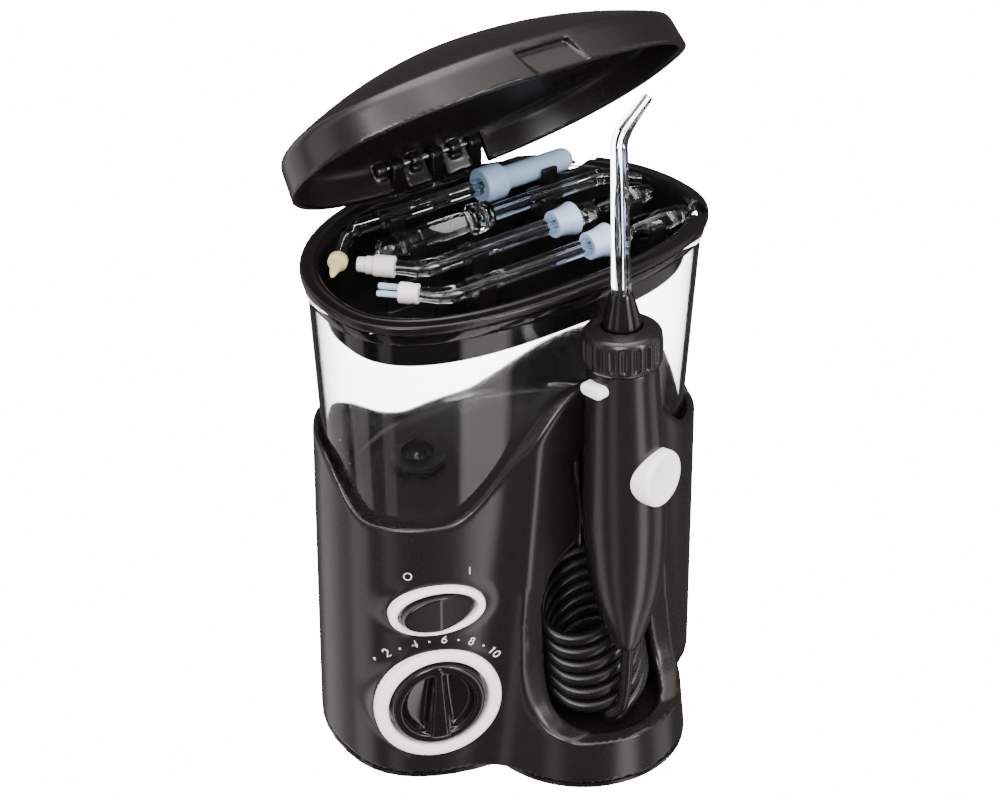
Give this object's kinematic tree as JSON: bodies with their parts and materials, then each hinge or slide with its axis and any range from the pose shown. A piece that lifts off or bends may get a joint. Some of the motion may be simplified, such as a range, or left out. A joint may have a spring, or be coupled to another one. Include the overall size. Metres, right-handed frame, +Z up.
{
  "type": "countertop water flosser",
  "caption": "Countertop water flosser: black base with dial and rocker, clear tank, tip tray under a hinged lid, and a wand on a coiled hose parked in the front recess.",
  "frame": {"origin": "centre of the tank oval's widest line, on the counter, under the non-slip pad", "axes": "+X right along the tank's long axis, -Y front, +Z up"},
  "size_m": [0.1535, 0.1723, 0.2379],
  "materials": {
    "housing": "satin black",
    "black_part": "moulded black",
    "black_rubber": "soft black",
    "light_trim": "off-white gloss",
    "natural_plastic": "natural white",
    "glass_filled": "dark grey glass-filled",
    "steel": "plated steel",
    "brass": "machined brass",
    "copper_winding": "varnished winding and laminations",
    "tubing": "milky silicone tube",
    "wire": "insulated wire",
    "clear_plastic": "clear moulded plastic",
    "ring_blue": "light blue",
    "sleeve_blue": "blue-grey",
    "white_part": "white",
    "soft_nozzle": "ivory rubber"
  },
  "bodies": {
    "base": {"base_housing": "housing", "base_plate": "black_part", "non_slip_pad": "black_rubber", "plate_screws": "steel", "recess_liner": "housing", "wand_cradle": "housing", "dial_bezel": "light_trim", "switch_bezel": "light_trim", "switch_module": "black_part", "control_valve_body": "natural_plastic", "gearbox_frame": "glass_filled", "motor_can": "steel", "motor_end_cap": "black_part", "gear_axle": "steel", "pump_cylinder": "natural_plastic", "valve_block": "natural_plastic", "outlet_spring": "steel", "suction_tube": "tubing", "pressure_tube": "tubing", "hose_feed_tube": "tubing", "wiring_loom": "wire", "cord_grommet": "black_rubber", "power_cord": "black_rubber", "socket_seal": "black_rubber", "coiled_hose": "black_rubber"},
    "dial": {"dial_knob": "housing"},
    "rocker": {"rocker": "housing"},
    "rotor": {"motor_rotor": "copper_winding", "drive_pinion": "brass"},
    "crank": {"crank_gear": "natural_plastic"},
    "rod": {"connecting_rod": "natural_plastic", "wrist_pin": "steel"},
    "piston": {"pump_piston": "natural_plastic", "piston_seal": "black_rubber"},
    "inlet_ball": {"inlet_ball": "steel"},
    "outlet_ball": {"outlet_ball": "steel"},
    "tank": {"tank": "clear_plastic", "tank_valve_body": "black_rubber"},
    "tank_poppet": {"tank_valve_poppet": "natural_plastic"},
    "tray": {"tip_tray": "black_part", "hinge_pin": "steel"},
    "lid": {"lid": "housing"},
    "pocket_tip": {"pocket_tip": "clear_plastic", "pocket_tip_nozzle": "soft_nozzle", "pocket_tip_sleeve": "sleeve_blue"},
    "spare_tip": {"jet_tip_spare": "clear_plastic"},
    "brush_tip": {"brush_tip": "clear_plastic", "brush_tip_ring": "ring_blue", "brush_tip_head": "white_part"},
    "plaque_tip": {"plaque_tip": "clear_plastic", "plaque_tip_ring": "ring_blue", "plaque_tip_head": "white_part"},
    "wand": {"wand_front_shell": "housing", "wand_back_shell": "housing", "wand_core": "natural_plastic", "pause_spring": "steel"},
    "pause_button": {"pause_button": "light_trim"},
    "eject_button": {"eject_button": "light_trim"},
    "collar": {"collar_knob": "housing"},
    "jet_tip": {"jet_tip": "clear_plastic"}
  },
  "joints": [
    {"name": "dial_turn", "type": "hinge", "parent": "base", "child": "dial", "pos_m": [-0.0495, -0.0275, 0.031], "axis": [-0.3746, -0.9272, 0], "range_deg": [-46, 55]},
    {"name": "rocker_tip", "type": "hinge", "parent": "base", "child": "rocker", "pos_m": [-0.0495, -0.0275, 0.067], "axis": [0, 0, 1], "range_deg": [-22, 0]},
    {"name": "motor_spin", "type": "hinge", "parent": "base", "child": "rotor", "pos_m": [0, 0.015, 0.024], "axis": [1, 0, 0], "continuous": true},
    {"name": "crank_spin", "type": "hinge", "parent": "base", "child": "crank", "pos_m": [0, 0.015, 0.054], "axis": [1, 0, 0], "continuous": true},
    {"name": "rod_orbit", "type": "hinge", "parent": "crank", "child": "rod", "pos_m": [-0.0122, 0.015, 0.051], "axis": [1, 0, 0], "continuous": true},
    {"name": "piston_stroke", "type": "slide", "parent": "base", "child": "piston", "axis": [0, 0, 1], "range_m": [0, 0.006]},
    {"name": "inlet_ball_lift", "type": "slide", "parent": "base", "child": "inlet_ball", "axis": [0, 0, -1], "range_m": [0, 0.001]},
    {"name": "outlet_ball_lift", "type": "slide", "parent": "base", "child": "outlet_ball", "axis": [0, 0, 1], "range_m": [0, 0.001]},
    {"name": "tank_lift", "type": "slide", "parent": "base", "child": "tank", "axis": [0, 0, 1], "range_m": [0, 0.09]},
    {"name": "tank_valve_close", "type": "slide", "parent": "tank", "child": "tank_poppet", "axis": [0, 0, -1], "range_m": [0, 0.0014]},
    {"name": "tray_lift", "type": "slide", "parent": "tank", "child": "tray", "axis": [0, 0, 1], "range_m": [0, 0.04]},
    {"name": "lid_swing", "type": "hinge", "parent": "tray", "child": "lid", "pos_m": [0.006, 0.0504, 0.176], "axis": [-1, 0, 0], "range_deg": [-44, 36]},
    {"name": "pocket_tip_lift", "type": "slide", "parent": "tray", "child": "pocket_tip", "axis": [0, 0, 1], "range_m": [0, 0.007]},
    {"name": "spare_tip_lift", "type": "slide", "parent": "tray", "child": "spare_tip", "axis": [0, 0, 1], "range_m": [0, 0.012]},
    {"name": "brush_tip_lift", "type": "slide", "parent": "tray", "child": "brush_tip", "axis": [0, 0, 1], "range_m": [0, 0.012]},
    {"name": "plaque_tip_lift", "type": "slide", "parent": "tray", "child": "plaque_tip", "axis": [0, 0, 1], "range_m": [0, 0.012]},
    {"name": "wand_pull", "type": "slide", "parent": "base", "child": "wand", "axis": [0, -1, 0], "range_m": [0, 0.06]},
    {"name": "pause_press", "type": "slide", "parent": "wand", "child": "pause_button", "axis": [-0.2588, 0.9641, -0.059], "range_m": [0, 0.0012], "stiffness_N_per_m": 900, "deforming": ["pause_spring"]},
    {"name": "eject_press", "type": "slide", "parent": "wand", "child": "eject_button", "axis": [0.9945, 0.1043, -0.0064], "range_m": [0, 0.001], "stiffness_N_per_m": 900},
    {"name": "collar_turn", "type": "hinge", "parent": "wand", "child": "collar", "pos_m": [0.004, -0.055, 0.045], "axis": [0, 0.061, 0.9981], "continuous": true},
    {"name": "jet_tip_pull", "type": "slide", "parent": "collar", "child": "jet_tip", "axis": [0, 0.061, 0.9981], "range_m": [0, 0.045]}
  ],
  "couplings": [
    {"joint": "crank_spin", "follows": "motor_spin", "ratio": -0.25},
    {"joint": "rod_orbit", "follows": "motor_spin", "ratio": 0.25}
  ]
}
